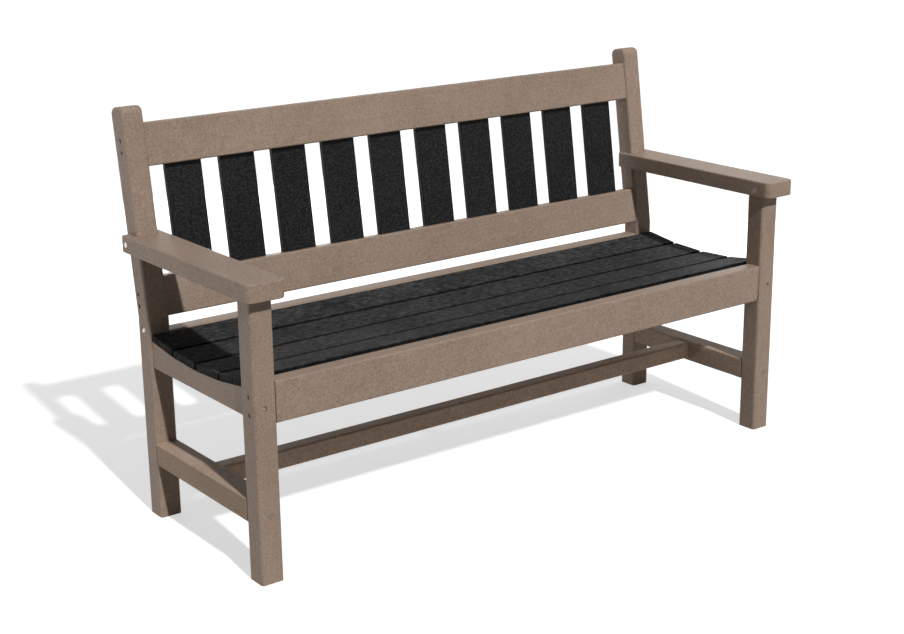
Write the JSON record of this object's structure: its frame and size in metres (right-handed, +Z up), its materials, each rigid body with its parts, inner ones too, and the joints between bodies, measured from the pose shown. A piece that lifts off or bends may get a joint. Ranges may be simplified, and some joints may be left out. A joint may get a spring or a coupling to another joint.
{
  "type": "slatted garden bench",
  "caption": "Slatted plastic-lumber garden bench with a raked back, two arms, a dished seat and an H-shaped stretcher frame.",
  "frame": {"origin": "middle of the floor under the bench: centre of the overall box in X and Y, with the feet on Z = 0", "axes": "+X along the bench to the sitter's left, +Y from the front of the seat towards the back, +Z up"},
  "size_m": [1.541, 0.5898, 0.9191],
  "materials": {
    "lumber_taupe": "through-coloured taupe recycled plastic lumber, finely pebbled, eased edges",
    "lumber_black": "through-coloured black recycled plastic lumber, fine lengthwise grain, eased edges",
    "screw_steel": "stainless socket-head screw, slightly dulled"
  },
  "bodies": {
    "root": {"arm_left": "lumber_taupe", "arm_right": "lumber_taupe", "back_slat_01": "lumber_black", "back_slat_02": "lumber_black", "back_slat_03": "lumber_black", "back_slat_04": "lumber_black", "back_slat_05": "lumber_black", "back_slat_06": "lumber_black", "back_slat_07": "lumber_black", "back_slat_08": "lumber_black", "back_slat_09": "lumber_black", "back_slat_10": "lumber_black", "bottom_back_rail": "lumber_taupe", "centre_seat_support": "lumber_taupe", "centre_stretcher": "lumber_taupe", "front_leg_left": "lumber_taupe", "front_leg_right": "lumber_taupe", "front_seat_rail": "lumber_taupe", "rear_leg_left": "lumber_taupe", "rear_leg_right": "lumber_taupe", "rear_seat_rail": "lumber_taupe", "seat_slat_1": "lumber_black", "seat_slat_2": "lumber_black", "seat_slat_3": "lumber_black", "seat_slat_4": "lumber_black", "side_seat_rail_left": "lumber_taupe", "side_seat_rail_right": "lumber_taupe", "side_stretcher_left": "lumber_taupe", "side_stretcher_right": "lumber_taupe", "top_back_rail": "lumber_taupe", "screw_arm_left_front_inner": "screw_steel", "screw_arm_left_front_outer": "screw_steel", "screw_arm_left_rear_inner": "screw_steel", "screw_arm_left_rear_outer": "screw_steel", "screw_arm_right_front_inner": "screw_steel", "screw_arm_right_front_outer": "screw_steel", "screw_arm_right_rear_inner": "screw_steel", "screw_arm_right_rear_outer": "screw_steel", "screw_bottom_rail_left_lower": "screw_steel", "screw_bottom_rail_left_upper": "screw_steel", "screw_bottom_rail_right_lower": "screw_steel", "screw_bottom_rail_right_upper": "screw_steel", "screw_front_rail_left_lower": "screw_steel", "screw_front_rail_left_upper": "screw_steel", "screw_front_rail_right_lower": "screw_steel", "screw_front_rail_right_upper": "screw_steel", "screw_rear_rail_left": "screw_steel", "screw_rear_rail_right": "screw_steel", "screw_side_rail_left_front": "screw_steel", "screw_side_rail_left_rear": "screw_steel", "screw_side_rail_right_front": "screw_steel", "screw_side_rail_right_rear": "screw_steel", "screw_stretcher_left_front": "screw_steel", "screw_stretcher_left_rear": "screw_steel", "screw_stretcher_right_front": "screw_steel", "screw_stretcher_right_rear": "screw_steel", "screw_top_rail_left_lower": "screw_steel", "screw_top_rail_left_upper": "screw_steel", "screw_top_rail_right_lower": "screw_steel", "screw_top_rail_right_upper": "screw_steel"}
  },
  "joints": []
}
